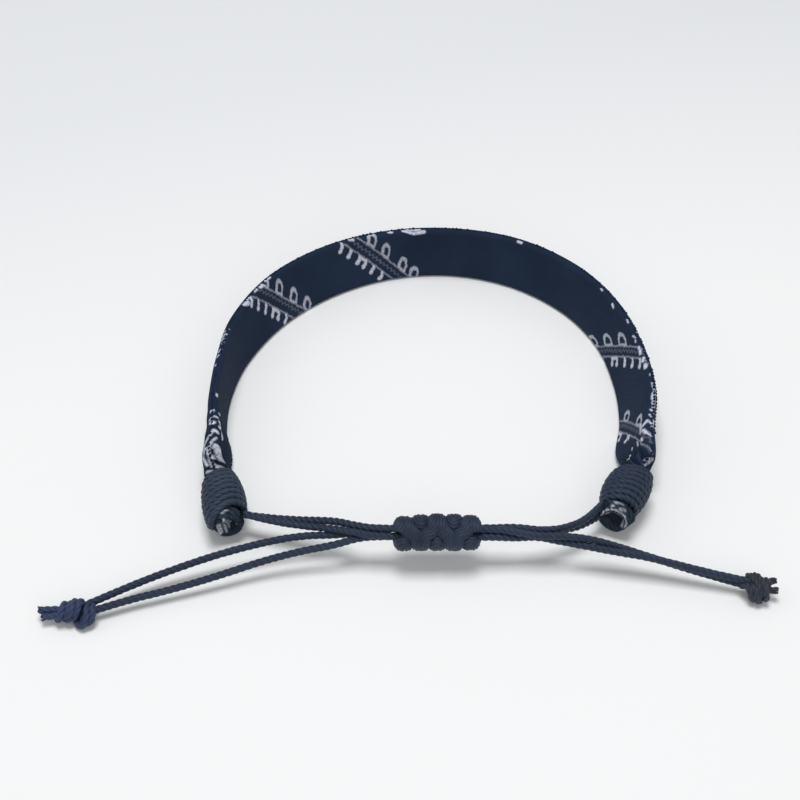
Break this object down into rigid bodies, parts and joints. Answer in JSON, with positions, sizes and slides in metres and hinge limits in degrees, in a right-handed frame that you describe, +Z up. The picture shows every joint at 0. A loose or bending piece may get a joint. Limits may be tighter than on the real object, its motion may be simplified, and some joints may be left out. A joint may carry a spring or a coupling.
{
  "type": "woven fabric wristband",
  "caption": "Folded printed-cotton band in an open ring, gathered and cord-whipped at both ends and closed in front by a sliding square knot on thin cords.",
  "frame": {"origin": "under the middle of the band and its two whippings, on the surface that the band stands on", "axes": "+Z up, square to the surface; +Y from the sliding knot to the back of the band; +X to the right as seen from the knot"},
  "size_m": [0.1045, 0.0783, 0.0101],
  "materials": {
    "printed_cotton": "matt navy woven cotton with a pale lavender-grey border and scroll print",
    "waxed_cord": "dark navy twisted cord with a faint wax sheen"
  },
  "bodies": {
    "root": {"band": "printed_cotton", "left_wrap": "waxed_cord", "right_wrap": "waxed_cord", "left_cord_1": "waxed_cord", "left_cord_2": "waxed_cord", "right_cord_1": "waxed_cord", "right_cord_2": "waxed_cord", "sliding_knot": "waxed_cord", "left_end_knot": "waxed_cord", "right_end_knot": "waxed_cord"}
  },
  "joints": []
}
